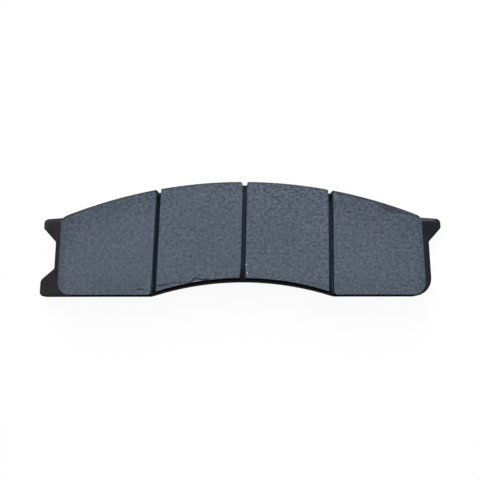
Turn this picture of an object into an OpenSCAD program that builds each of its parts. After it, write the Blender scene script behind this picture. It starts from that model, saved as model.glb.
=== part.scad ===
// Disc brake pad of a heavy vehicle: a blanked steel backing plate with hooked ears, and four
// friction blocks. Each block is moulded on its own underlayer, whose plugs fill holes in the
// plate, and a film of adhesive bonds the two.
// The origin is on the plate's back face, on the centre line, at half the plate's height.
// +X runs along the pad, +Y points away from the disc's axis and +Z towards the disc.

/* [Overall] */
// Length of the pad over its ears
pad_length = 280; // [233:1:340]
// Height of the plate, from its flats to the crown of the outer arc
plate_height = 79; // [65:1:96]
// Thickness of the whole pad when new
pad_thickness = 18; // [15:0.5:26]

/* [Backing plate] */
// Thickness of the steel
plate_thickness = 7; // [5:0.5:9]
// Radius of the outer arc, which is centred on the disc's axis
outer_radius = 317.5; // [265:0.5:385]
// Radius of the hollow arc, which clears the hub
hollow_radius = 206; // [170:1:250]
// Rise of the hollow arc above the flats
hollow_rise = 10; // [7:0.5:12]
// Radius that blends the hollow arc into the flats
hollow_blend = 12; // [4:1:16]
// Radius of the lower corner that has no ear
plain_corner = 13; // [4:1:16]

/* [Ears] */
// How far an ear stands out past the plate's side edge
ear_reach = 9; // [7:0.5:11]
// Distance from the side edge in to where an ear's top leaves the outer arc
ear_shoulder = 12; // [8:0.5:16]
// Slope of an upper ear's top, in degrees
ear_top_slope = 4; // [0:0.5:8]
// Height of an upper ear at its root
ear_height = 16.9; // [15:0.1:21]
// Angle of an upper ear's underside from the pad's length, in degrees
ear_flank = 47; // [35:1:52]
// Height of the one lower ear at its root
lower_ear_height = 19.3; // [17:0.1:23]
// Angle of the lower ear's upper side from the pad's length, in degrees
lower_ear_flank = 42; // [30:1:48]
// Radius of an upper ear's top corner
ear_top_corner = 3.3; // [1:0.1:4]
// Radius of an upper ear's lower corner
ear_low_corner = 2.5; // [1:0.1:4]
// Radius of the lower ear's upper corner
lower_ear_corner = 5; // [2:0.5:6]
// Radius of the lower ear's corner at the flat
lower_ear_foot = 3; // [1:0.5:4]
// Radius in each ear's root
ear_root = 2.5; // [1:0.5:4]
// Radius where an ear's top meets the outer arc
ear_shoulder_blend = 10; // [5:1:15]

/* [Lining] */
// Ledge of bare plate past the lining at the end with the lower ear
end_ledge = 7; // [4:0.5:10]
// Ledge of bare plate past the lining at the plain end
plain_end_ledge = 8.2; // [4:0.1:11]
// Ledge of bare plate along the outer arc
outer_ledge = 0.8; // [0.4:0.1:3]
// Ledge of bare plate along the flats
flat_ledge = 0.3; // [0.2:0.1:2]
// Ledge of bare plate at the middle of the hollow arc
hollow_ledge = 1.2; // [0.4:0.1:3]
// Radius of the lining's own hollow arc
lining_hollow_radius = 191; // [165:1:230]
// Number of friction blocks
block_count = 4; // [2:1:4]
// Width of the slots between the blocks
slot_width = 3; // [2:0.1:5]
// Distance between the middles of the slots
slot_pitch = 59.8; // [48:0.2:64]
// Lean of the slots from the centre line, in degrees, the outer end towards +X
slot_lean = 1.4; // [-3:0.1:3]
// Shift of the slots along the pad
slot_shift = 0.8; // [-2:0.1:2]
// Radius of the block corners at the slots' ends
slot_corner = 0.7; // [0.3:0.1:3]
// Radius of the lining's two outer corners
outer_corner = 5.5; // [1:0.5:8]
// Radius of the lining's two lower corners
lower_corner = 8; // [2:0.5:10]

/* [Bond] */
// Thickness of the adhesive film
film_thickness = 0.2; // [0.1:0.05:0.5]
// Thickness of the underlayer
underlayer_thickness = 2; // [1:0.1:3]
// Diameter of the plate's keying holes
plug_hole = 14; // [10:0.5:18]
// Gap that shrinkage leaves round a moulded plug
plug_gap = 0.05; // [0.02:0.01:0.2]
// Distance between the two plugs of a block
plug_spacing = 30; // [22:1:36]
// Depth of the plugs' circle below the outer arc
plug_depth = 34.5; // [25:0.5:40]

/* [Hidden] */
$fn = 96;

// Sides that a whole circle of a large arc is drawn with
arc_fn = 720;
// How far a rounding's cutter reaches past the edges that it rounds
spare = 0.6;
// How far a rounding circle crosses its edges, so that they cut each other cleanly
hair = 0.002;
plugs_per_block = 2;

crown = plate_height / 2;
tip_x = pad_length / 2;
side_x = tip_x - ear_reach;
left_lining_x = side_x - end_ledge;
right_lining_x = side_x - plain_end_ledge;
disc_axis = [0, crown - outer_radius];
hollow_centre = [0, hollow_rise - crown - hollow_radius];
lining_radius = outer_radius - outer_ledge;
lining_hollow_centre = [0, hollow_rise + hollow_ledge - crown - lining_hollow_radius];
plug_circle = outer_radius - plug_depth;

underlayer_z = plate_thickness + film_thickness;
friction_z = underlayer_z + underlayer_thickness;
friction_thickness = pad_thickness - friction_z;

// The unit vector at an angle
function unit(angle) = [cos(angle), sin(angle)];

// A straight edge is [angle of its outward normal, distance from the origin].
function line_through(angle, point) = [angle, point * unit(angle)];
function moved(edge, out) = [edge[0], edge[1] + out];
function reversed(edge) = [edge[0] + 180, -edge[1]];
function meeting(p, q) =
  [p[1] * sin(q[0]) - q[1] * sin(p[0]), q[1] * cos(p[0]) - p[1] * cos(q[0])] / sin(q[0] - p[0]);

// Where a straight edge meets an arc, looked for to the left of the normal, or its right for -1
function meeting_arc(edge, centre, radius, side) =
  let (off = edge[1] - centre * unit(edge[0]))
  centre + off * unit(edge[0])
    + side * sqrt(pow(radius, 2) - pow(off, 2)) * unit(edge[0] + 90);

function angle_to(from, to) = atan2(to[1] - from[1], to[0] - from[0]);
function arc_y(centre, radius, x) = centre[1] + sqrt(pow(radius, 2) - pow(x - centre[0], 2));

// The edges of the plate's right-hand half
side_edge = [0, side_x];
tip_edge = [0, tip_x];
beyond_tip = moved(tip_edge, spare);
flat_edge = [-90, crown];
shoulder = [side_x - ear_shoulder, arc_y(disc_axis, outer_radius, side_x - ear_shoulder)];
ear_top = line_through(90 - ear_top_slope, shoulder);
ear_root_point = meeting(side_edge, ear_top) - [0, ear_height];
ear_under = line_through(ear_flank - 90, ear_root_point);
lower_root_point = [side_x, lower_ear_height - crown];
lower_ear_top = line_through(90 - lower_ear_flank, lower_root_point);

// The edges of the lining
lining_flat = [-90, crown - flat_ledge];
lining_hollow_half = sqrt(pow(lining_hollow_radius, 2)
  - pow(-lining_flat[1] - lining_hollow_centre[1], 2));
function slot_middle(k) = ((k - block_count / 2) * slot_pitch + slot_shift) * cos(slot_lean);
function block_left(i) =
  i == 1 ? [180, left_lining_x] : [180 - slot_lean, -slot_middle(i - 1) - slot_width / 2];
function block_right(i) =
  i == block_count ? [0, right_lining_x] : [-slot_lean, slot_middle(i) - slot_width / 2];
function block_middle(i) =
  (meeting(block_right(i), [90, 0])[0] + meeting(block_left(i), [90, 0])[0]) / 2;

// The centres of a block's plugs, on one circle round the disc's axis
function plug_points(i) = [
  for (n = [0:plugs_per_block - 1])
    let (x = block_middle(i) + (n - (plugs_per_block - 1) / 2) * plug_spacing)
    [x, arc_y(disc_axis, plug_circle, x)]
];

// What lies between a corner and the circle that rounds it. The circle touches one edge in the
// direction from_angle and the other in to_angle.
module corner_waste(centre, radius, from_angle, to_angle) {
  reach = radius + spare;
  difference() {
    polygon([
      centre,
      centre + reach * unit(from_angle),
      centre + reach / cos((to_angle - from_angle) / 2) * unit((from_angle + to_angle) / 2),
      centre + reach * unit(to_angle)
    ]);
    translate(centre) circle(radius + hair);
  }
}

// The waste of an outward corner between two straight edges
module outward_corner(first, second, radius)
  corner_waste(meeting(moved(first, -radius), moved(second, -radius)), radius, first[0], second[0]);

// The waste of a corner between a straight edge and the outside of an arc
module outward_arc_corner(edge, centre, arc_radius, radius, side) {
  middle = meeting_arc(moved(edge, -radius), centre, arc_radius - radius, side);
  along_arc = angle_to(centre, middle);
  corner_waste(middle, radius, edge[0], nearest_turn(along_arc, edge[0]));
}

// The waste of a corner between a straight edge and a hollow arc
module hollow_arc_corner(edge, centre, arc_radius, radius, side) {
  middle = meeting_arc(moved(edge, -radius), centre, arc_radius + radius, side);
  to_arc = angle_to(middle, centre);
  corner_waste(middle, radius, edge[0], nearest_turn(to_arc, edge[0]));
}

// The same direction, written less than half a turn from another
function nearest_turn(angle, other) = angle - 360 * round((angle - other) / 360);

module both_sides() {
  children();
  mirror([1, 0]) children();
}

// What the blank loses above an ear's top and the outer arc, on the right-hand side
module above_ear() {
  difference() {
    polygon([
      meeting(ear_top, [180, 0]),
      meeting(ear_top, beyond_tip),
      [beyond_tip[1], crown + spare],
      [0, crown + spare]
    ]);
    translate(disc_axis) circle(outer_radius, $fn = arc_fn);
    blend_centre = meeting_arc(
      moved(ear_top, ear_shoulder_blend), disc_axis, outer_radius + ear_shoulder_blend, -1
    );
    corner_waste(
      blend_centre, ear_shoulder_blend, ear_top[0] + 180,
      nearest_turn(angle_to(blend_centre, disc_axis), ear_top[0] + 180)
    );
  }
}

// What the blank loses beside its right-hand edge, from an ear's underside down to an edge
module beside(lower_edge, lower_radius) {
  difference() {
    polygon([
      meeting(ear_under, side_edge), meeting(lower_edge, side_edge),
      meeting(lower_edge, beyond_tip), meeting(ear_under, beyond_tip)
    ]);
    outward_corner(reversed(side_edge), reversed(ear_under), ear_root);
    if (lower_radius > 0)
      outward_corner(reversed(lower_edge), reversed(side_edge), lower_radius);
  }
}

module plate_outline() {
  difference() {
    translate([-tip_x, -crown]) square([2 * tip_x, 2 * crown]);
    both_sides() above_ear();
    beside(moved(flat_edge, spare), 0);
    mirror([1, 0]) beside(lower_ear_top, ear_root);
    translate(hollow_centre) circle(hollow_radius, $fn = arc_fn);
    both_sides() {
      outward_corner(tip_edge, ear_top, ear_top_corner);
      outward_corner(ear_under, tip_edge, ear_low_corner);
      hollow_arc_corner(flat_edge, hollow_centre, hollow_radius, hollow_blend, 1);
    }
    outward_corner(flat_edge, side_edge, plain_corner);
    mirror([1, 0]) {
      outward_corner(tip_edge, lower_ear_top, lower_ear_corner);
      outward_corner(flat_edge, tip_edge, lower_ear_foot);
    }
  }
}

// Rounds a block's lower corner, which is on the hollow arc or on the flat
module lower_block_corner(edge, radius, side) {
  if (abs(meeting(edge, lining_flat)[0]) < lining_hollow_half)
    hollow_arc_corner(edge, lining_hollow_centre, lining_hollow_radius, radius, side);
  else
    corner_waste(
      meeting(moved(edge, -radius), moved(lining_flat, -radius)), radius, edge[0],
      nearest_turn(lining_flat[0], edge[0])
    );
}

module block_outline(i) {
  left = block_left(i);
  right = block_right(i);
  top = [90, crown];
  left_radius = i == 1 ? outer_corner : slot_corner;
  right_radius = i == block_count ? outer_corner : slot_corner;
  difference() {
    intersection() {
      translate(disc_axis) circle(lining_radius, $fn = arc_fn);
      polygon([
        meeting(lining_flat, right), meeting(right, top), meeting(top, left),
        meeting(left, lining_flat)
      ]);
    }
    translate(lining_hollow_centre) circle(lining_hollow_radius, $fn = arc_fn);
    outward_arc_corner(left, disc_axis, lining_radius, left_radius, -1);
    outward_arc_corner(right, disc_axis, lining_radius, right_radius, 1);
    lower_block_corner(left, i == 1 ? lower_corner : slot_corner, -1);
    lower_block_corner(right, i == block_count ? lower_corner : slot_corner, 1);
  }
}

module backing_plate() {
  color("#2c2d31") difference() {
    linear_extrude(plate_thickness) plate_outline();
    for (i = [1:block_count], p = plug_points(i))
      translate([p[0], p[1], -1]) cylinder(h = plate_thickness + 2, d = plug_hole);
  }
}

// The film stops at the rims of the keying holes
module adhesive_film(i) {
  color("#7a5a34") translate([0, 0, plate_thickness]) linear_extrude(film_thickness) difference() {
    block_outline(i);
    for (p = plug_points(i)) translate(p) circle(d = plug_hole);
  }
}

module underlayer(i) {
  color("#3b3734") {
    translate([0, 0, underlayer_z]) linear_extrude(underlayer_thickness) block_outline(i);
    for (p = plug_points(i)) translate(p) cylinder(h = friction_z, d = plug_hole - 2 * plug_gap);
  }
}

module friction_block(i) {
  color("#58616d")
    translate([0, 0, friction_z]) linear_extrude(friction_thickness) block_outline(i);
}

backing_plate();
for (i = [1:block_count]) {
  adhesive_film(i);
  underlayer(i);
  friction_block(i);
}
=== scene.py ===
"""Looks of a four-block disc brake pad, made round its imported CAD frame.

Shapes are worked in millimetres and turned to metres as each piece is finished. X runs along the
pad, Y away from the disc's axis and Z towards the disc.
"""

import math
import random

import bmesh
import bpy
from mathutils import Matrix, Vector, kdtree, noise


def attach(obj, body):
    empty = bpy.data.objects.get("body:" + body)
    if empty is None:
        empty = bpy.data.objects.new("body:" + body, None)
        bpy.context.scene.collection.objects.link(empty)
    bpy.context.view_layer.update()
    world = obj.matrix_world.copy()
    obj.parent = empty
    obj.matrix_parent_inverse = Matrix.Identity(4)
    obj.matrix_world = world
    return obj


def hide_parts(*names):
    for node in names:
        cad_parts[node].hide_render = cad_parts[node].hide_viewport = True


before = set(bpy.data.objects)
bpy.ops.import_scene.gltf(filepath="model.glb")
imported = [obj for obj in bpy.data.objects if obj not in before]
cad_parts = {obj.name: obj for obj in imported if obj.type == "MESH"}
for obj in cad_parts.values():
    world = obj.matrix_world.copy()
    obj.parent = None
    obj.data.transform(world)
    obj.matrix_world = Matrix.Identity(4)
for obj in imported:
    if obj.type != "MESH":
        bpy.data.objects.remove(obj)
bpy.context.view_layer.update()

MM = 0.001
BLOCKS = (1, 2, 3, 4)
SEED = 7

# Points closer than this touch, in millimetres
TOUCH = 0.01
# Corners closer than this are one, and faces that turn less than this are one face
MERGE = 0.002
FLAT = math.radians(0.2)
# Faces that meet at a greater angle than this are shaded as an edge
SHARP = math.radians(38)
# A face whose normal rises less than this is a wall
UPRIGHT = 0.5
# A face looks along an axis where its normal has more than this share of it
FACING = 0.75

# Heights of the layers
PLATE_TOP = 7.0
BLOCK_FOOT = 9.2
GROUND_Z = 18.0

# The slots and the lining's ends, as the CAD model has them
SLOT_COUNT = len(BLOCKS) - 1
SLOT_PITCH = 59.8
SLOT_SHIFT = 0.8
SLOT_LEAN = math.radians(1.4)
SLOT_HALF = 1.5
# A wall's middle, a wall's point and the floor belong to a slot within these distances of its
# middle line
SLOT_WALL = 2.2
SLOT_SIDE = 2.4
SLOT_FLOOR = 4
LEFT_END = -124.0
RIGHT_END = 122.8
DISC_AXIS_Y = -278.0
LINING_RADIUS = 316.7


# ---------------------------------------------------------------- meshes


def cad_copy(node):
    """A copy of a CAD node's mesh in millimetres, its loose triangles merged into whole faces."""
    bm = bmesh.new()
    bm.from_mesh(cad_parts[node].data)
    bmesh.ops.scale(bm, vec=(1 / MM, 1 / MM, 1 / MM), verts=bm.verts)
    bmesh.ops.remove_doubles(bm, verts=bm.verts, dist=MERGE)
    bmesh.ops.dissolve_limit(
        bm,
        angle_limit=FLAT,
        verts=bm.verts,
        edges=bm.edges,
        use_dissolve_boundaries=False,
    )
    bm.normal_update()
    return bm


def finished_piece(bm, name, node, materials):
    """Makes the piece that stands for a CAD node, back in metres."""
    bmesh.ops.scale(bm, vec=(MM, MM, MM), verts=bm.verts)
    mesh = bpy.data.meshes.new(name)
    bm.to_mesh(mesh)
    bm.free()
    for material in materials:
        mesh.materials.append(material)
    mesh.shade_smooth()
    mesh.set_sharp_from_angle(angle=SHARP)
    piece = bpy.data.objects.new(name, mesh)
    bpy.context.scene.collection.objects.link(piece)
    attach(piece, "root")
    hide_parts(node)


def rim_edges(bm, z):
    """The edges between the level face at a height and the walls round it."""
    return [
        e
        for e in bm.edges
        if len(e.link_faces) == 2
        and all(abs(v.co.z - z) < TOUCH for v in e.verts)
        and min(abs(f.normal.z) for f in e.link_faces) < UPRIGHT
    ]


def round_edges(bm, edges, width, segments):
    """Rounds edges to a width on either side, in so many segments."""
    bmesh.ops.bevel(
        bm,
        geom=edges,
        offset=width,
        offset_type="OFFSET",
        segments=segments,
        affect="EDGES",
        profile=0.5,
        material=-1,
        clamp_overlap=False,
    )
    bm.normal_update()


def along(edges, spacing):
    """Points along edges, no further apart than the spacing."""
    points = []
    for e in edges:
        start, end = (v.co.copy() for v in e.verts)
        steps = max(1, math.ceil((end - start).length / spacing))
        points += [start.lerp(end, n / steps) for n in range(steps)]
    return points


def nearest_finder(points):
    """A search tree over points, flattened to the plate's plane."""
    tree = kdtree.KDTree(len(points))
    for n, p in enumerate(points):
        tree.insert((p.x, p.y, 0), n)
    tree.balance()
    return tree


def cut_planes(bm, faces, axis, places, snap):
    """Cuts faces by planes square to an axis. Returns the faces that they became."""
    geom = set(faces)
    for f in faces:
        geom.update(f.edges)
        geom.update(f.verts)
    geom = list(geom)
    normal = Vector((0, 0, 0))
    normal[axis] = 1
    for place in places:
        point = normal * place
        cut = bmesh.ops.bisect_plane(bm, geom=geom, dist=snap, plane_co=point, plane_no=normal)
        geom = cut["geom"]
    bm.normal_update()
    return [g for g in geom if isinstance(g, bmesh.types.BMFace)]


def cut_grid(bm, faces, pitch):
    """Cuts faces into square cells, so that wear can be shaped in them. No cut comes nearer to the
    faces' ends than a tenth of a cell, and a corner near a cut is taken for a point on it."""
    clear = 0.1
    snap = 0.08 * pitch
    for axis in (0, 1):
        spread = [v.co[axis] for f in faces for v in f.verts]
        first = math.ceil(min(spread) / pitch + clear)
        last = math.floor(max(spread) / pitch - clear)
        faces = cut_planes(bm, faces, axis, [n * pitch for n in range(first, last + 1)], snap)


def break_off(bm, start, end, lean, depth):
    """Breaks off what lies left of a line in the ground face. The break leans out as it goes down."""
    run = Vector((end[0] - start[0], end[1] - start[1], 0)).normalized()
    normal = Vector((-run.y * depth, run.x * depth, lean))
    cut = bmesh.ops.bisect_plane(
        bm,
        geom=bm.verts[:] + bm.edges[:] + bm.faces[:],
        dist=TOUCH,
        plane_co=(start[0], start[1], GROUND_Z),
        plane_no=normal,
        clear_outer=True,
    )
    rim = [g for g in cut["geom_cut"] if isinstance(g, bmesh.types.BMEdge)]
    bmesh.ops.contextual_create(bm, geom=rim)
    bm.normal_update()


def slot_middle(k):
    """Where slot k's middle line crosses the pad's long axis."""
    return (k - (SLOT_COUNT + 1) / 2) * SLOT_PITCH + SLOT_SHIFT


def slot_offset(x, y, k):
    """How far a point lies from slot k's middle line, towards +X."""
    return (x - slot_middle(k)) * math.cos(SLOT_LEAN) - y * math.sin(SLOT_LEAN)


def in_slot(x, y, reach):
    """Whether a point is in or right beside a slot."""
    return any(abs(slot_offset(x, y, k)) < reach for k in range(1, SLOT_COUNT + 1))


def from_outer_arc(x, y):
    """How far inside the lining's outer arc a point lies."""
    return LINING_RADIUS - math.hypot(x, y - DISC_AXIS_Y)


def step(value, low, high):
    """The straight way from 0 at the low value to 1 at the high one."""
    return max(0.0, min(1.0, (value - low) / (high - low)))


def smooth_step(value, low, high):
    """The same way, setting off and arriving gently."""
    t = step(value, low, high)
    return t * t * (3 - 2 * t)


# ---------------------------------------------------------------- materials

MIX = {"data_type": "RGBA"}
SMOOTH = {"interpolation_type": "SMOOTHSTEP"}


def linear(hex_colour):
    """An sRGB hex colour as the linear one that Blender works in."""
    channels = [int(hex_colour[n : n + 2], 16) / 255 for n in (1, 3, 5)]
    light = [c / 12.92 if c <= 0.04045 else ((c + 0.055) / 1.055) ** 2.4 for c in channels]
    return (*light, 1.0)


def add_node(tree, kind, settings=None, inputs=None, ramp=()):
    """Adds a node. An input is a value, an output, or a node that gives its first output in use."""
    node = tree.nodes.new(kind)
    for name, value in (settings or {}).items():
        setattr(node, name, value)
    if ramp:
        elements = node.color_ramp.elements
        while len(elements) < len(ramp):
            elements.new(0.5)
        for element, (place, colour) in zip(elements, ramp):
            element.position = place
            element.color = linear(colour)
    for name, value in (inputs or {}).items():
        named = [s for s in node.inputs if s.enabled and s.name == name]
        socket = named[0] if named else node.inputs[name]
        if isinstance(value, bpy.types.Node):
            value = next(s for s in value.outputs if s.enabled)
        if isinstance(value, bpy.types.NodeSocket):
            tree.links.new(value, socket)
        else:
            socket.default_value = value
    return node


def new_material(name):
    """An empty material, with its coordinates in millimetres on the piece."""
    material = bpy.data.materials.new(name)
    material.use_nodes = True
    tree = material.node_tree
    tree.nodes.clear()
    place = add_node(tree, "ShaderNodeTexCoord").outputs["Object"]
    scaled = {"Vector": place, "Scale": 1 / MM}
    mm = add_node(tree, "ShaderNodeVectorMath", {"operation": "SCALE"}, scaled)
    return material, tree, mm


def finish_material(tree, colour, bump_height, bump_mm, inputs):
    """Gives a material its colour, its bump of so many millimetres and the shader's other inputs."""
    bump = add_node(tree, "ShaderNodeBump", None, {"Height": bump_height, "Distance": bump_mm * MM})
    surface = {"Base Color": colour, "Normal": bump}
    surface.update(inputs)
    shader = add_node(tree, "ShaderNodeBsdfPrincipled", None, surface)
    add_node(tree, "ShaderNodeOutputMaterial", None, {"Surface": shader})


def ground_friction_compound():
    """Resin-bonded mineral and fibre compound, ground flat on a belt: matt blue-grey with a fine
    salt-and-pepper grain, brown-black skin on the flash, the ends and a strip along the outer arc,
    painted shade along part of block 2's hollow edge, and paler stuff at breaks."""
    material, tree, mm = new_material("ground_friction_compound")
    # The mix drifts slowly, over about 28 mm
    drift = add_node(tree, "ShaderNodeTexNoise", None, {"Vector": mm, "Scale": 1 / 28, "Detail": 2})
    ramp = [(0.35, "#535f6b"), (0.5, "#565f6c"), (0.65, "#59606e")]
    base = add_node(tree, "ShaderNodeValToRGB", None, {"Fac": drift}, ramp)
    # Grains are 0.2 to 0.6 mm in such a compound, drawn at 1.8 and 0.8 mm, the least that shows.
    # Its fibres lie along the pad, so the grains are a third longer than they are wide.
    lying = add_node(tree, "ShaderNodeMapping", None, {"Vector": mm, "Scale": (0.75, 1, 1)})
    grains = {"Vector": lying, "Scale": 1 / 1.8, "Detail": 2, "Roughness": 0.6}
    grain = add_node(tree, "ShaderNodeTexNoise", None, grains)
    fine = add_node(tree, "ShaderNodeTexNoise", None, {"Vector": lying, "Scale": 1 / 0.8, "Detail": 1})
    # The belt leaves faint lines along the pad, 1.5 mm apart and some 20 mm long
    lines = add_node(tree, "ShaderNodeMapping", None, {"Vector": mm, "Scale": (0.05, 0.65, 1)})
    lines = add_node(tree, "ShaderNodeTexNoise", None, {"Vector": lines, "Scale": 1.0, "Detail": 1})
    limits = {"From Min": 0.28, "From Max": 0.72, "To Min": -0.38, "To Max": 0.38}
    shade = add_node(tree, "ShaderNodeMapRange", SMOOTH, {"Value": grain, **limits})
    coarse = add_node(tree, "ShaderNodeAttribute", {"attribute_name": "coarse"}).outputs["Fac"]
    shade = add_node(tree, "ShaderNodeMath", {"operation": "MULTIPLY"}, {0: shade, 1: coarse})
    for pattern, strength in ((fine, 0.12), (lines, 0.05)):
        limits = {"From Min": 0.3, "From Max": 0.7, "To Min": -strength, "To Max": strength}
        part = add_node(tree, "ShaderNodeMapRange", SMOOTH, {"Value": pattern, **limits})
        shade = add_node(tree, "ShaderNodeMath", {"operation": "ADD"}, {0: shade, 1: part})
    # The face is a little darker along its outer arc and ends
    tone = add_node(tree, "ShaderNodeAttribute", {"attribute_name": "tone"}).outputs["Fac"]
    shade = add_node(tree, "ShaderNodeMath", {"operation": "ADD"}, {0: shade, 1: tone})
    scaled = {"Vector": base, "Scale": shade}
    colour = add_node(tree, "ShaderNodeVectorMath", {"operation": "SCALE"}, scaled)
    # Pale mineral and metal flecks in one of four cells of 3 mm, and dark pits where graphite
    # pulled out in one of four cells of 2.4 mm
    for cell, size, tint in ((3.0, 0.16, "#7f8893"), (2.4, 0.2, "#3f4652")):
        cells = add_node(tree, "ShaderNodeTexVoronoi", None, {"Vector": mm, "Scale": 1 / cell})
        limits = {"From Min": 0.5 * size, "From Max": size, "To Min": 1.0, "To Max": 0.0}
        near = add_node(tree, "ShaderNodeMapRange", SMOOTH, {"Value": cells, **limits})
        lot = add_node(tree, "ShaderNodeSeparateColor", None, {"Color": cells.outputs["Color"]})
        chosen = add_node(tree, "ShaderNodeMath", {"operation": "GREATER_THAN"}, {0: lot, 1: 0.75})
        spot = add_node(tree, "ShaderNodeMath", {"operation": "MULTIPLY"}, {0: near, 1: chosen})
        colour = add_node(tree, "ShaderNodeMix", MIX, {"Factor": spot, "A": colour, "B": linear(tint)})
    # The brown-black of the moulding skin, with a ragged border, where marked; on part of block 2's
    # hollow edge it is painted shade
    skin = add_node(tree, "ShaderNodeAttribute", {"attribute_name": "skin"}).outputs["Fac"]
    uneven = {0: grain, 1: 0.9, 2: skin}
    ragged = add_node(tree, "ShaderNodeMath", {"operation": "MULTIPLY_ADD"}, uneven)
    limits = {"From Min": 0.75, "From Max": 1.15}
    skin = add_node(tree, "ShaderNodeMapRange", SMOOTH, {"Value": ragged, **limits})
    colour = add_node(tree, "ShaderNodeMix", MIX, {"Factor": skin, "A": colour, "B": linear("#25282a")})
    # Paler breaks and white flecks, and painted shade in the cracks' grooves
    for name, tint in (("broken", "#737b7c"), ("fleck", "#d2d4d6"), ("crack_shade", "#15171a")):
        share = add_node(tree, "ShaderNodeAttribute", {"attribute_name": name}).outputs["Fac"]
        colour = add_node(tree, "ShaderNodeMix", MIX, {"Factor": share, "A": colour, "B": linear(tint)})
    # The spot of the last round is a pit
    pitted = add_node(tree, "ShaderNodeMath", {"operation": "SUBTRACT"}, {0: grain, 1: spot})
    finish_material(tree, colour, pitted, 0.12, {"Roughness": 0.9, "Specular IOR Level": 0.1})
    return material


def black_coat_with_painted_shade():
    """Moulded compound side under a thin black air-drying coat: matt, with the rough skin of the mould.
    Its black is darker than the coat's own: painted shade."""
    material, tree, mm = new_material("black_coat_with_painted_shade")
    skin = {"Vector": mm, "Scale": 1 / 1.6, "Detail": 4, "Roughness": 0.65}
    lumps = add_node(tree, "ShaderNodeTexNoise", None, skin)
    # The ramp's near-black is painted shade, darker than the coat itself
    ramp = [(0.3, "#0a0b0d"), (0.55, "#0f1013"), (0.75, "#18191b")]
    colour = add_node(tree, "ShaderNodeValToRGB", None, {"Fac": lumps}, ramp)
    finish_material(tree, colour, lumps, 0.25, {"Roughness": 0.9, "Specular IOR Level": 0.0})
    return material


def dusty_slot_side():
    """Slot side of the compound: pale slate grinding dust on it, and the dark skin bare where the
    slot opens to the hollow arc."""
    material, tree, mm = new_material("dusty_slot_side")
    skin = {"Vector": mm, "Scale": 1 / 1.3, "Detail": 3, "Roughness": 0.6}
    lumps = add_node(tree, "ShaderNodeTexNoise", None, skin)
    ramp = [(0.3, "#7f96a8"), (0.5, "#97b1c9"), (0.7, "#a8c2dd")]
    dust = add_node(tree, "ShaderNodeValToRGB", None, {"Fac": lumps}, ramp)
    share = add_node(tree, "ShaderNodeAttribute", {"attribute_name": "dust"}).outputs["Fac"]
    layers = {"Factor": share, "A": linear("#2c2e2f"), "B": dust}
    colour = add_node(tree, "ShaderNodeMix", MIX, layers)
    finish_material(tree, colour, lumps, 0.2, {"Roughness": 0.95, "Specular IOR Level": 0.1})
    return material


def black_paint_on_blanked_steel():
    """Black paint sprayed on the blanked steel: satin with a slight orange peel, painted shade deep
    black along most edges, under slate grinding dust in the slots, and a grey painted highlight on
    the ears' rolled-over tops."""
    material, tree, mm = new_material("black_paint_on_blanked_steel")
    # Paint peel is 1 to 2 mm across
    peel = add_node(tree, "ShaderNodeTexNoise", None, {"Vector": mm, "Scale": 1 / 1.5, "Detail": 2})
    clouds = {"Vector": mm, "Scale": 1 / 9, "Detail": 3, "Roughness": 0.6}
    cloud = add_node(tree, "ShaderNodeTexNoise", None, clouds)
    ramp = [(0.35, "#0a0f17"), (0.65, "#0f151f")]
    blacker_paint = add_node(tree, "ShaderNodeValToRGB", None, {"Fac": cloud}, ramp)
    ramp = [(0.35, "#1e1d20"), (0.65, "#262528")]
    greyer_paint = add_node(tree, "ShaderNodeValToRGB", None, {"Fac": cloud}, ramp)
    # The paint is greyer towards the end with two ears
    place = add_node(tree, "ShaderNodeSeparateXYZ", None, {"Vector": mm})
    limits = {"From Min": 100, "From Max": -120}
    greyer_share = add_node(tree, "ShaderNodeMapRange", SMOOTH, {"Value": place, **limits})
    colour = add_node(tree, "ShaderNodeMix", MIX, {"Factor": greyer_share, "A": blacker_paint, "B": greyer_paint})
    # Painted shade turns the edges deep black, grinding dust lies in the slots, and a painted highlight
    # greys the ears' rolled tops
    for name, tint in (("edge_shade", "#050609"), ("dust", "#46566a"), ("ear_highlight", "#5e646b")):
        share = add_node(tree, "ShaderNodeAttribute", {"attribute_name": name}).outputs["Fac"]
        colour = add_node(tree, "ShaderNodeMix", MIX, {"Factor": share, "A": colour, "B": linear(tint)})
    # Grit under the paint stands 2.2 mm apart
    grit = add_node(tree, "ShaderNodeTexVoronoi", None, {"Vector": mm, "Scale": 1 / 2.2})
    limits = {"From Min": 0.06, "From Max": 0.14, "To Min": 0.3, "To Max": 0.0}
    speck = add_node(tree, "ShaderNodeMapRange", SMOOTH, {"Value": grit, **limits})
    colour = add_node(tree, "ShaderNodeMix", MIX, {"Factor": speck, "A": colour, "B": linear("#4b4f56")})
    limits = {"From Min": 0.3, "From Max": 0.7, "To Min": 0.42, "To Max": 0.55}
    rough = add_node(tree, "ShaderNodeMapRange", SMOOTH, {"Value": cloud, **limits})
    finish_material(tree, colour, peel, 0.05, {"Roughness": rough, "Specular IOR Level": 0.16})
    return material


def black_paint_on_sheared_edge_shaded():
    """The same black paint on the sheared and broken-out edge of the blank: matt, with the shear marks
    under it, and darker than on the face as painted shade."""
    material, tree, mm = new_material("black_paint_on_sheared_edge_shaded")
    # Shear marks run through the thickness, 0.7 mm apart
    upright = add_node(tree, "ShaderNodeMapping", None, {"Vector": mm, "Scale": (1, 1, 0.12)})
    shear = {"Vector": upright, "Scale": 1 / 0.7, "Detail": 3}
    marks = add_node(tree, "ShaderNodeTexNoise", None, shear)
    # Darker than the paint on the face: painted shade
    ramp = [(0.3, "#040507"), (0.6, "#08090b"), (0.8, "#101114")]
    colour = add_node(tree, "ShaderNodeValToRGB", None, {"Fac": marks}, ramp)
    finish_material(tree, colour, marks, 0.15, {"Roughness": 0.8, "Specular IOR Level": 0.02})
    return material


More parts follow.
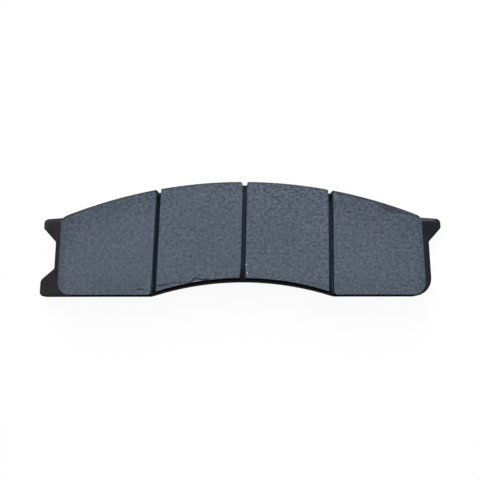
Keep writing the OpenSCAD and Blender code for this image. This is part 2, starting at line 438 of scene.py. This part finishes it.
def black_sprayed_underlayer():
    """Underlayer compound under the same black spray: duller and coarser than the steel round it."""
    material, tree, mm = new_material("black_sprayed_underlayer")
    skin = {"Vector": mm, "Scale": 1.0, "Detail": 4, "Roughness": 0.7}
    lumps = add_node(tree, "ShaderNodeTexNoise", None, skin)
    ramp = [(0.3, "#141416"), (0.55, "#1e1d1e"), (0.75, "#2e2a27")]
    colour = add_node(tree, "ShaderNodeValToRGB", None, {"Fac": lumps}, ramp)
    finish_material(tree, colour, lumps, 0.25, {"Roughness": 0.85, "Specular IOR Level": 0.2})
    return material


def cured_phenolic_adhesive():
    """Oven-cured phenolic adhesive: a thin dark amber-brown line with a slight gloss."""
    material, tree, mm = new_material("cured_phenolic_adhesive")
    beads = add_node(tree, "ShaderNodeTexNoise", None, {"Vector": mm, "Scale": 1 / 2.5, "Detail": 2})
    ramp = [(0.35, "#0e0d0c"), (0.7, "#211a15")]
    colour = add_node(tree, "ShaderNodeValToRGB", None, {"Fac": beads}, ramp)
    finish_material(tree, colour, beads, 0.05, {"Roughness": 0.55, "Specular IOR Level": 0.15})
    return material


GROUND = ground_friction_compound()
SHADED_COAT = black_coat_with_painted_shade()
DUSTY = dusty_slot_side()
PAINT = black_paint_on_blanked_steel()
SHADED_SHEARED_EDGE = black_paint_on_sheared_edge_shaded()
PLUG_FACE = black_sprayed_underlayer()
ADHESIVE = cured_phenolic_adhesive()

# ---------------------------------------------------------------- friction blocks

# The finish of a block's or an underlayer's face, in the order that its piece has them
FACE, COATED_SIDE, DUSTY_SIDE = range(3)
# The ground face is shaped in cells of this size, and its rim is worn round this wide
CELL = 0.8
EDGE_WEAR = 0.12
# The worn rim goes with the ground face where its normal rises more than this
RIM_RISE = 0.4
# The walls' top, above which the face's rim and cracks lie, and the height that wear goes down to
WALL_TOP = GROUND_Z - 0.6
WEAR_FOOT = GROUND_Z - 1.3
# Heights at which the walls are cut, and how far their points are moved in
WALL_CUTS = [10.4, 11.8, 13.2, 14.6, 16.0, 17.0]
WALL_ROUGHNESS = 0.12
# Where the walls of an underlayer in the slots are cut, along Y
UNDERLAYER_CUTS = range(-36, 39, 3)
# How wide the rim of an underlayer's plugs is rounded
PLUG_EASING = 0.3

# What broke off each block's edges: the break's line in the ground face, how far it leans out and
# how deep it goes
BREAKS = {
    1: (),
    2: (((-0.7, 38.3), (0.35, 37.3), 0.8, 4.0), ((-1.05, -19.5), (-2.2, -29.0), 0.9, 3.0)),
    3: (((2.95, 37.6), (4.2, 38.8), 0.8, 4.0), ((58.7, 33.0), (59.9, 31.8), 0.8, 4.0)),
    4: (),
}
# Where each block's side of a slot's mouth is worn: slot, the side of it that the block is on (1 is
# towards +X) and how wide, and for all of them how deep
MOUTH_WEAR = {1: (), 2: ((1, 1, 0.5),), 3: ((2, 1, 0.32), (3, -1, 0.4)), 4: ()}
MOUTH_DEPTH = 3.4
# A line across a block ends this far from the pad's middle
PAST_BLOCK = 50
# How far a block's foot stands out past its top along the outer arc
FOOT_LEAN = 0.6
# Flash narrows the outer ends of two slots: block, and the side of it with the slot (1 is +X)
FLASH_SIDE = {1: 1, 4: -1}
# How far the flash stands into the slot at the block's foot and at its top
FLASH_FOOT = 1.44
FLASH_TOP = 1.04
# How far the lining's straight lower edge stands out to lie level with the plate's, and how far
# below the pad's middle that begins and is whole
FLAT_PUSH = 0.22
FLAT_BELOW = (36.5, 39.0)
# How coarse each block's grain looks
COARSENESS = {1: 0.52, 2: 0.7, 3: 0.86, 4: 0.7}
# How much darker each block is at its outer arc, and how far in that reaches
ARC_SHADE = {1: (0.19, 20), 2: (0.07, 11), 3: (0.06, 10), 4: (0.17, 34)}
# How dusty each block's slot sides are at the top and at the foot
WALL_DUST = {1: (0.34, 0.4), 2: (0.2, 0.4), 3: (0.2, 0.4), 4: (0.03, 1.0)}
# The least dust on them at the slots' outer ends
END_DUST = 0.2
# The dust on each slot's floor
FLOOR_DUST = {1: 0.4, 2: 0.85, 3: 0.85}
# The darker strip along the outer arc: x, its width there and its darkness
DARK_ARC_STRIP = (
    (-124, 2.6, 0.62),
    (-119, 2.0, 0.58),
    (-112, 1.7, 0.5),
    (-60, 1.7, 0.5),
    (-30, 1.6, 0.48),
    (40, 1.5, 0.46),
    (58, 1.8, 0.49),
    (66, 1.7, 0.53),
    (90, 2.1, 0.54),
    (95, 4.5, 0.48),
    (98, 6.6, 0.49),
    (104, 6.6, 0.48),
    (109, 4.7, 0.47),
    (114, 3.4, 0.46),
    (119, 2.8, 0.46),
    (123, 2.6, 0.48),
)
# Cracks in the ground face: their points, width, depth and darkness, which is painted shade in the
# groove
CRACKS = (
    (((-57.2, -33.5), (-53.5, -33.2), (-50.9, -32.4)), 0.8, 0.9, 0.8),
    (
        ((-50.9, -32.4), (-46.9, -31.4), (-42.9, -31.6), (-38.8, -31.3), (-34.8, -31.3)),
        0.5,
        0.35,
        0.45,
    ),
    (
        ((-34.8, -31.3), (-33.2, -29.6), (-31.5, -28.6), (-29.5, -29.0), (-26.8, -29.6), (-22.8, -29.1)),
        0.7,
        0.9,
        0.8,
    ),
    (((-70.5, -35.5), (-69.5, -36.0), (-67.5, -36.1), (-66.5, -35.7)), 0.7, 0.7, 0.8),
    (((-71.3, -33.0), (-69.3, -33.3)), 0.4, 0.4, 0.8),
)
# All of them lie below this, and the cells nearer to one than this are made finer
CRACKED_BELOW = -26
NEAR_CRACK = 1.0
# Chips out of the edges: x, y, reach and drop
CHIPS = (
    (-63.4, -34.4, 0.8, 0.5),
    (-62.2, -35.7, 0.9, 0.6),
    (3.3, -22.0, 0.7, 0.5),
    (2.6, -14.0, 0.6, 0.4),
)
# Each block has so many smaller ones at random places of its rim, and this is their least and
# greatest reach and drop
SMALL_CHIPS = 14
SMALL_REACH = (0.4, 0.9)
SMALL_DROP = (0.15, 0.4)
# Paler places, where the face was rubbed or flaked: x, y, half length, half width and strength
PALE_PATCHES = (
    (-30.5, -30.2, 3.4, 1.0, 0.7),
    (-65.9, -34.7, 2.2, 0.8, 0.55),
    (-68.4, -37.3, 2.4, 0.7, 0.5),
    (-62.9, -31.0, 1.3, 6.5, 0.35),
    (-53.5, -36.4, 3.4, 1.0, 0.5),
    (55.4, 31.9, 2.6, 1.3, 0.45),
    (64.2, 28.0, 1.5, 3.2, 0.55),
)
# White mineral specks and a scratch of one: x, y, half length and half width
SPECKS = (
    (2.5, -19.4, 0.6, 0.5),
    (4.6, -18.9, 2.2, 0.25),
    (3.0, -24.8, 0.4, 0.4),
    (63.4, 2.8, 0.4, 0.4),
)
# Block 2's edge along the hollow arc is darkened between these places, as painted shade
SHADED_HOLLOW_EDGE = (-26.0, -1.0)


def dark_arc_strip(x):
    """Width and darkness of the darker strip along the outer arc, at a place along the pad."""
    for (x0, width0, dark0), (x1, width1, dark1) in zip(DARK_ARC_STRIP, DARK_ARC_STRIP[1:]):
        if x0 <= x <= x1:
            t = (x - x0) / (x1 - x0)
            return width0 + (width1 - width0) * t, dark0 + (dark1 - dark0) * t
    return DARK_ARC_STRIP[0][1:]


def within(x, y, cx, cy, half_x, half_y):
    """How deep a point lies in an oval: 1 in the middle, 0 from the border on."""
    return max(0.0, 1 - math.hypot((x - cx) / half_x, (y - cy) / half_y))


def line_distance(line, x, y):
    """Distance in the plate's plane from a point to a broken line."""
    best = math.inf
    for (ax, ay), (bx, by) in zip(line, line[1:]):
        t = ((x - ax) * (bx - ax) + (y - ay) * (by - ay)) / ((bx - ax) ** 2 + (by - ay) ** 2)
        t = max(0.0, min(1.0, t))
        best = min(best, math.hypot(ax + (bx - ax) * t - x, ay + (by - ay) * t - y))
    return best


def crack_block(bm):
    """Cuts the cracks as narrow grooves, in cells made finer along them, and marks painted shade in
    them.
    """
    crack_shade_layer = bm.verts.layers.float.new("crack_shade")
    lines = [line for line, *_ in CRACKS]
    for _ in range(2):
        edges = []
        for e in bm.edges:
            x, y, z = (e.verts[0].co + e.verts[1].co) / 2
            on_face = z > WALL_TOP and y < CRACKED_BELOW
            if on_face and any(line_distance(line, x, y) < NEAR_CRACK for line in lines):
                edges.append(e)
        if edges:
            bmesh.ops.subdivide_edges(bm, edges=edges, cuts=1, use_grid_fill=True)
    for line, width, depth, darkness in CRACKS:
        for v in bm.verts:
            if v.co.z < WALL_TOP or v.co.y > CRACKED_BELOW:
                continue
            wobble = 0.3 * noise.noise(Vector((v.co.x, v.co.y, SEED + 9)) * 0.8)
            away = line_distance(line, v.co.x, v.co.y + wobble)
            share = max(0.0, 1 - away / (0.5 * width + 0.2))
            v.co.z -= depth * share
            v[crack_shade_layer] = max(v[crack_shade_layer], darkness * share)


def face_tone(x, y, i):
    """How light a block's face is: darker along the outer arc and the ends, and a little along the lower
    edge."""
    darkness, reach = ARC_SHADE[i]
    # Block 1 is darkened deeper towards the lining's end
    if i == 1:
        reach += 9 * smooth_step(-x, 75, 120)
    tone = 1 - darkness * (1 - smooth_step(from_outer_arc(x, y), 0, reach))
    tone -= 0.07 * smooth_step(-y, 24, 33)
    from_end = min(x - LEFT_END, RIGHT_END - x)
    at_ends = 0.12 + 0.1 * smooth_step(-y, 0, 25)
    return tone - at_ends * (1 - smooth_step(from_end, 0, 7))


def wear_mouth(bm, k, side, width):
    """Wears the mouth of slot k wider, on one of its sides."""
    corners = []
    for y in (-side * PAST_BLOCK, side * PAST_BLOCK):
        away = side * (SLOT_HALF + width) + y * math.sin(SLOT_LEAN)
        corners.append((slot_middle(k) + away / math.cos(SLOT_LEAN), y))
    break_off(bm, *corners, width, MOUTH_DEPTH)


def lean_foot(bm, i):
    """Lets the wall along the outer arc lean out to its foot, as it came out of the mould, and the
    flash that is left there stand into the slot beside the block."""
    side = FLASH_SIDE.get(i, 0)
    for v in bm.verts:
        x, y, z = v.co
        inset = from_outer_arc(x, y)
        low = 1 - step(z, BLOCK_FOOT, WALL_TOP)
        if z > PLATE_TOP and inset < 6:
            outward = Vector((x, y - DISC_AXIS_Y, 0)).normalized()
            v.co += outward * FOOT_LEAN * low * (1 - smooth_step(inset, 0.2, 1.0))
            if in_slot(x, y, SLOT_SIDE):
                flash = FLASH_FOOT * low * (1 - smooth_step(inset, 1.0, 4.5))
                flash += FLASH_TOP * (1 - low) * (1 - smooth_step(inset, 0.5, 3.5))
                v.co.x += side * flash


def push_flats(bm):
    """Brings the lining's straight lower edge level with the plate's."""
    for v in bm.verts:
        if v.co.z > PLATE_TOP:
            v.co.y -= FLAT_PUSH * smooth_step(-v.co.y, *FLAT_BELOW)


def wear_block(bm, rim, i, rng):
    """Shapes the worn edges and chips in a block's ground face, and marks what the finish shows:
    skin, breaks, flecks, the grain's size and the tone."""
    names = ("skin", "broken", "fleck", "coarse", "tone")
    marks = {name: bm.verts.layers.float.new(name) for name in names}
    tree = nearest_finder(rim)
    chips = list(CHIPS)
    for _ in range(SMALL_CHIPS):
        p = rim[rng.randrange(len(rim))]
        chips.append((p.x, p.y, rng.uniform(*SMALL_REACH), rng.uniform(*SMALL_DROP)))
    for v in bm.verts:
        x, y = v.co.x, v.co.y
        # The grain is coarser near the outer arc
        coarse = 1.35 - 0.35 * smooth_step(from_outer_arc(x, y), 6, 24)
        coarse += 0.25 * noise.noise(Vector((x, y, SEED + 3)) * 0.04)
        v[marks["coarse"]] = COARSENESS[i] * coarse
        v[marks["tone"]] = face_tone(x, y, i)
        if v.co.z < WEAR_FOOT:
            continue
        place, _, inset = tree.find((x, y, 0))
        rough = noise.noise(Vector((x, y, SEED)) * 0.9)
        drop = skin = broken = fleck = 0.0
        # The strip along the outer arc is a little low
        at_end = not LEFT_END + 0.5 < place.x < RIGHT_END - 0.5
        if y > 5 and not at_end and not in_slot(place.x, place.y, SLOT_SIDE):
            width, dark = dark_arc_strip(x)
            t = max(0.0, 1 - inset / (width * (1 + 0.4 * rough)))
            drop = 0.04 * t
            skin = dark * min(1.0, 3 * t)
        # The lining's two ends are darker
        if min(place.x - LEFT_END, RIGHT_END - place.x) < 0.5:
            skin = max(skin, 0.4 * (1 - smooth_step(inset, 0.2, 1.2)))
        # A part of the edge along the hollow arc is darkened too, as painted shade
        if SHADED_HOLLOW_EDGE[0] < x < SHADED_HOLLOW_EDGE[1] and y < -20:
            skin = max(skin, 0.5 * (1 - smooth_step(inset, 0.3, 1.3)))
        # The flash that stands into a slot was never ground
        if in_slot(x, y, SLOT_HALF - 0.05):
            skin = 0.9
        for cx, cy, reach, fall in chips:
            ragged_reach = reach * (1 + 0.3 * rough)
            inside = within(x, y, cx, cy, ragged_reach, ragged_reach)
            drop += fall * inside * (2 - inside)
            broken = max(broken, inside)
        for cx, cy, half_x, half_y, strength in PALE_PATCHES:
            inside = within(x, y, cx, cy, half_x, half_y)
            broken = max(broken, strength * smooth_step(inside + 0.3 * rough, 0.0, 0.5))
        for cx, cy, half_x, half_y in SPECKS:
            fleck = max(fleck, smooth_step(within(x, y, cx, cy, half_x, half_y), 0.0, 0.5))
        v[marks["skin"]] = skin
        v[marks["broken"]] = broken
        v[marks["fleck"]] = fleck
        # The rim is ragged, up to 0.12 mm inwards
        if inset < 1.0:
            inward = Vector((x - place.x, y - place.y, 0))
            ragged = 0.12 * max(0.0, noise.noise(Vector((x, y, SEED + 5)) * 1.7))
            if inward.length > 1e-4:
                v.co += inward.normalized() * ragged
        v.co.z -= drop


def roughen_walls(bm, low, high, depth):
    """Moves the walls' points inwards a little, as a moulding's sides are."""
    for v in bm.verts:
        if low - TOUCH <= v.co.z <= high and abs(v.normal.z) < FACING:
            lump = noise.noise(v.co * 0.55 + Vector((SEED, 0, 0)))
            level = Vector((v.normal.x, v.normal.y, 0)).normalized()
            v.co -= level * depth * (0.5 + 0.5 * lump)


def dust_walls(bm, rim, i):
    """Marks the grinding dust on a block's slot sides: less at the slots' outer ends, and none where
    they open to the hollow arc."""
    dust_layer = bm.verts.layers.float.new("dust")
    at_top, at_foot = WALL_DUST[i]
    middle_x = sum(p.x for p in rim) / len(rim)
    for side in (-1, 1):
        ends = [p.y for p in rim if in_slot(p.x, p.y, SLOT_WALL) and (p.x - middle_x) * side > 0]
        for v in bm.verts:
            if ends and (v.co.x - middle_x) * side > 0 and in_slot(v.co.x, v.co.y, SLOT_SIDE):
                outer = smooth_step(max(ends) - v.co.y, 1.5, 18.0)
                hollow = smooth_step(v.co.y - min(ends), 0.5, 7.0)
                low = smooth_step(GROUND_Z - v.co.z, 3.5, 8.5)
                share = (at_top + (at_foot - at_top) * low) * outer
                v[dust_layer] = (share + max(at_top, END_DUST) * (1 - outer)) * hollow


def side_finish(f):
    """The finish of a side face: dusty in the slots, and black coated elsewhere."""
    middle = f.calc_center_median()
    dusty = in_slot(middle.x, middle.y, SLOT_WALL) and abs(f.normal.x) > FACING
    return DUSTY_SIDE if dusty else COATED_SIDE


def friction_block(i):
    """A block: its breaks and worn rim are cut first, then its walls and its face are divided and
    shaped, and the cracks come before the wear that is marked over them."""
    node = f"friction_block_{i}"
    bm = cad_copy(node)
    for slot, side, width in MOUTH_WEAR[i]:
        wear_mouth(bm, slot, side, width)
    for start, end, lean, depth in BREAKS[i]:
        break_off(bm, start, end, lean, depth)
    ground_rim = rim_edges(bm, GROUND_Z)
    rim = along(ground_rim, 0.25)
    round_edges(bm, ground_rim, EDGE_WEAR, 2)
    cut_planes(bm, [f for f in bm.faces if abs(f.normal.z) < UPRIGHT], 2, WALL_CUTS, TOUCH)
    cut_grid(bm, [f for f in bm.faces if f.normal.z > -UPRIGHT], CELL)
    for f in bm.faces:
        f.material_index = FACE if f.normal.z > RIM_RISE else side_finish(f)
    roughen_walls(bm, BLOCK_FOOT, WALL_CUTS[-1] + 0.1, WALL_ROUGHNESS)
    lean_foot(bm, i)
    push_flats(bm)
    crack_block(bm)
    dust_walls(bm, rim, i)
    wear_block(bm, rim, i, random.Random(SEED + i))
    finished_piece(bm, f"ground_block_{i}", node, (GROUND, SHADED_COAT, DUSTY))


def sprayed_underlayer(i):
    """The layer under a block, whose sides show below it and its two plugs on the plate's back."""
    node = f"underlayer_{i}"
    bm = cad_copy(node)
    rim = along(rim_edges(bm, BLOCK_FOOT), 0.25)
    walls = [f for f in bm.faces if abs(f.normal.x) > FACING and f.calc_center_median().z > PLATE_TOP]
    cut_planes(bm, walls, 1, UNDERLAYER_CUTS, TOUCH)
    dust_walls(bm, rim, i)
    lean_foot(bm, i)
    push_flats(bm)
    round_edges(bm, rim_edges(bm, 0.0), PLUG_EASING, 2)
    for f in bm.faces:
        f.material_index = FACE if f.calc_center_median().z < PLATE_TOP + 0.3 else side_finish(f)
    finished_piece(bm, f"sprayed_underlayer_{i}", node, (PLUG_FACE, SHADED_COAT, DUSTY))


# ---------------------------------------------------------------- backing plate

# Blanking rolls the front edge over: how far in, and how deep as a share of that
ROLL_OVER = 1.8
ROLL_DEPTH = 0.55
# The share of it that the edge beside the lining has
LINED_ROLL = 0.25
# The ears begin between these distances from the middle
EAR_START = (116, 124)
# The plain end's ear has the painted highlight from the first of these places on, and up to the second
HIGHLIGHTED_EAR = ((112, 116), (134, 138))
# The dust on a slot's floor is whole from this far inside the outer arc on, and from half as far
# again inside the hollow arc
DUST_END = 10.0
# The edges of the keying holes lie nearer than this to their middles
PLUG_CLEARANCE = 7.5
# The plate's faces are cut in cells of this size, and its back edges are eased this wide
PLATE_CELL = 1.25
BACK_EASING = 0.25
# A face of the plate is sheared edge where its normal rises less than this
SHEARED_RISE = 0.3


def roll_share(x):
    """How much of the roll-over the plate's edge has: all of it on the ears."""
    return LINED_ROLL + (1 - LINED_ROLL) * smooth_step(abs(x), *EAR_START)


def ear_highlight_share(place, inset):
    """How much painted highlight greys the ears' rolled top edges, most of all at the plain end."""
    top = smooth_step(place.y, 5, 9)
    if place.x > 0:
        start, end = HIGHLIGHTED_EAR
        ear = smooth_step(place.x, *start) * (1 - smooth_step(place.x, *end))
        lightened = 0.64 * ear * (0.26 + 0.74 * step(inset, 0.3, 1.8))
    else:
        lightened = 0.22 * smooth_step(-place.x, 118, 124) * step(inset, 0.5, 1.9)
    return lightened * top * (1 - smooth_step(inset, 1.9, 2.9))


def edge_shade_share(place, inset):
    """How much painted shade turns the paint deep black: along the edges, but not on the top of the
    plain end's ear and about half on the top of the other one, and on the whole ledge below the lining."""
    below = place.y < -25 and abs(place.x) < 122
    reach = 4.0 if below else 1.3
    least = 0.55 if place.x < 0 else 0.0
    edge_shade = 1 - (1 - least) * smooth_step(place.y, 2, 7)
    return 0.9 * edge_shade * (1 - smooth_step(inset, 0.5 * reach, reach))


def slot_dust(place, x, y, inset):
    """Grinding dust on the floors of the slots, less towards their ends, and a film of it on the
    plain end's ledge."""
    for k, share in FLOOR_DUST.items():
        if abs(slot_offset(x, y, k)) < SLOT_FLOOR:
            return share * smooth_step(inset, 1.0, DUST_END if place.y > 0 else 1.5 * DUST_END)
    return 0.14 * smooth_step(inset, 1.5, 3.0) * (x > RIGHT_END) * (1 - smooth_step(y, 0, 6))


def plug_middles():
    """The middles of the keying holes, from the plugs that fill them."""
    middles = []
    for i in BLOCKS:
        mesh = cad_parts[f"underlayer_{i}"].data
        low = [v.co / MM for v in mesh.vertices if v.co.z < MERGE * MM]
        mean_x = sum(p.x for p in low) / len(low)
        for side in (-1, 1):
            ring = [p for p in low if (p.x - mean_x) * side > 0]
            xs = [p.x for p in ring]
            ys = [p.y for p in ring]
            middles.append(((min(xs) + max(xs)) / 2, (min(ys) + max(ys)) / 2))
    return middles


def painted_plate():
    """The plate with the roll-over that blanking leaves on its front edge, and eased back edges."""
    bm = cad_copy("backing_plate")
    plugs = plug_middles()
    front = []
    for e in rim_edges(bm, PLATE_TOP):
        middle = (e.verts[0].co + e.verts[1].co) / 2
        if all(math.hypot(middle.x - x, middle.y - y) > PLUG_CLEARANCE for x, y in plugs):
            front.append(e)
    tree = nearest_finder(along(front, 0.2))
    round_edges(bm, front, ROLL_OVER, 4)
    for v in bm.verts:
        place, _, inset = tree.find((v.co.x, v.co.y, 0))
        if v.co.z > PLATE_TOP - ROLL_OVER - TOUCH and inset < ROLL_OVER + 2 * TOUCH:
            share = roll_share(place.x)
            v.co.x = place.x + (v.co.x - place.x) * share
            v.co.y = place.y + (v.co.y - place.y) * share
            v.co.z = PLATE_TOP - (PLATE_TOP - v.co.z) * share * ROLL_DEPTH
    round_edges(bm, rim_edges(bm, 0.0), BACK_EASING, 2)
    cut_grid(bm, bm.faces[:], PLATE_CELL)
    dust_layer = bm.verts.layers.float.new("dust")
    ear_highlight_layer = bm.verts.layers.float.new("ear_highlight")
    edge_shade_layer = bm.verts.layers.float.new("edge_shade")
    for v in bm.verts:
        place, _, inset = tree.find((v.co.x, v.co.y, 0))
        if v.co.z > PLATE_TOP - ROLL_OVER:
            v[ear_highlight_layer] = ear_highlight_share(place, inset)
            v[edge_shade_layer] = edge_shade_share(place, inset)
        if v.co.z > PLATE_TOP - 0.5:
            v[dust_layer] = slot_dust(place, v.co.x, v.co.y, inset)
    for f in bm.faces:
        f.material_index = int(abs(f.normal.z) < SHEARED_RISE)
    finished_piece(bm, "painted_plate", "backing_plate", (PAINT, SHADED_SHEARED_EDGE))


painted_plate()
for block in BLOCKS:
    sprayed_underlayer(block)
    friction_block(block)
    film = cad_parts[f"adhesive_film_{block}"].data
    film.materials.clear()
    film.materials.append(ADHESIVE)


# ---------------------------------------------------------------- floor, light and camera

WHITE = (1, 1, 1, 1)
# The floor's half width and how far it lies under the pad, in metres
FLOOR_HALF = 6
FLOOR_GAP = 0.0002


def shown_white(tree):
    """A share that is 1 where the camera, a reflection or clear stuff looks, and 0 for light."""
    path = add_node(tree, "ShaderNodeLightPath")
    share = path.outputs["Is Camera Ray"]
    for ray in ("Is Glossy Ray", "Is Transmission Ray"):
        either = {0: share, 1: path.outputs[ray]}
        share = add_node(tree, "ShaderNodeMath", {"operation": "MAXIMUM"}, either)
    return share


def studio_floor():
    """A pale floor, white to the camera and in reflections, that keeps the pad's shadow."""
    bm = bmesh.new()
    bmesh.ops.create_grid(bm, x_segments=1, y_segments=1, size=FLOOR_HALF)
    bmesh.ops.translate(bm, vec=(0, 0, -FLOOR_GAP), verts=bm.verts)
    mesh = bpy.data.meshes.new("studio_floor")
    bm.to_mesh(mesh)
    bm.free()
    floor = bpy.data.objects.new("studio_floor", mesh)
    bpy.context.scene.collection.objects.link(floor)
    material = bpy.data.materials.new("pale_paper_sweep")
    material.use_nodes = True
    tree = material.node_tree
    tree.nodes.clear()
    paper = add_node(tree, "ShaderNodeBsdfDiffuse", None, {"Color": linear("#9a9a98")})
    shaded = add_node(tree, "ShaderNodeBsdfDiffuse", None, {"Color": linear("#535353")})
    glow = add_node(tree, "ShaderNodeEmission", None, {"Color": WHITE, "Strength": 0.92})
    white = add_node(tree, "ShaderNodeAddShader", None, {0: shaded, 1: glow})
    surface = add_node(tree, "ShaderNodeMixShader", None, {0: shown_white(tree), 1: paper, 2: white})
    add_node(tree, "ShaderNodeOutputMaterial", None, {"Surface": surface})
    mesh.materials.append(material)


def studio_world():
    """Even light from all round, and white where the view or a reflection goes past the floor."""
    world = bpy.data.worlds.new("studio")
    bpy.context.scene.world = world
    world.use_nodes = True
    tree = world.node_tree
    tree.nodes.clear()
    even = add_node(tree, "ShaderNodeBackground", None, {"Color": WHITE, "Strength": 0.6})
    white = add_node(tree, "ShaderNodeBackground", None, {"Color": WHITE, "Strength": 1.0})
    surface = add_node(tree, "ShaderNodeMixShader", None, {0: shown_white(tree), 1: even, 2: white})
    add_node(tree, "ShaderNodeOutputWorld", None, {"Surface": surface})


def soft_box(name, place, size, power):
    """A square soft box that points at the pad."""
    light = bpy.data.lights.new(name, "AREA")
    light.size = size
    light.energy = power
    lamp = bpy.data.objects.new(name, light)
    bpy.context.scene.collection.objects.link(lamp)
    lamp.location = place
    lamp.rotation_euler = (-Vector(place)).to_track_quat("-Z", "Y").to_euler()


def photo_camera():
    """The photograph's view: 10.5 degrees from straight down, from the hollow side."""
    tilt = math.radians(10.5)
    distance = 0.3667
    # It aims at a point just beside the pad's middle
    aim = Vector((-0.00168, -0.00069, 0.009))
    # The focal length is 526 of the picture's 480 columns
    focal_share = 526 / 480
    roll = math.radians(0.065)
    data = bpy.data.cameras.new("photo_view")
    data.sensor_width = 36
    data.lens = data.sensor_width * focal_share
    camera = bpy.data.objects.new("photo_view", data)
    bpy.context.scene.collection.objects.link(camera)
    camera.location = aim + distance * Vector((0, -math.sin(tilt), math.cos(tilt)))
    camera.rotation_euler = (tilt, 0, 0)
    camera.rotation_euler.rotate_axis("Z", -roll)
    bpy.context.scene.camera = camera


studio_floor()
studio_world()
soft_box("back_soft_box", place=(-0.05, 1.05, 0.75), size=0.9, power=13)
photo_camera()
bpy.context.scene.view_settings.view_transform = "Standard"
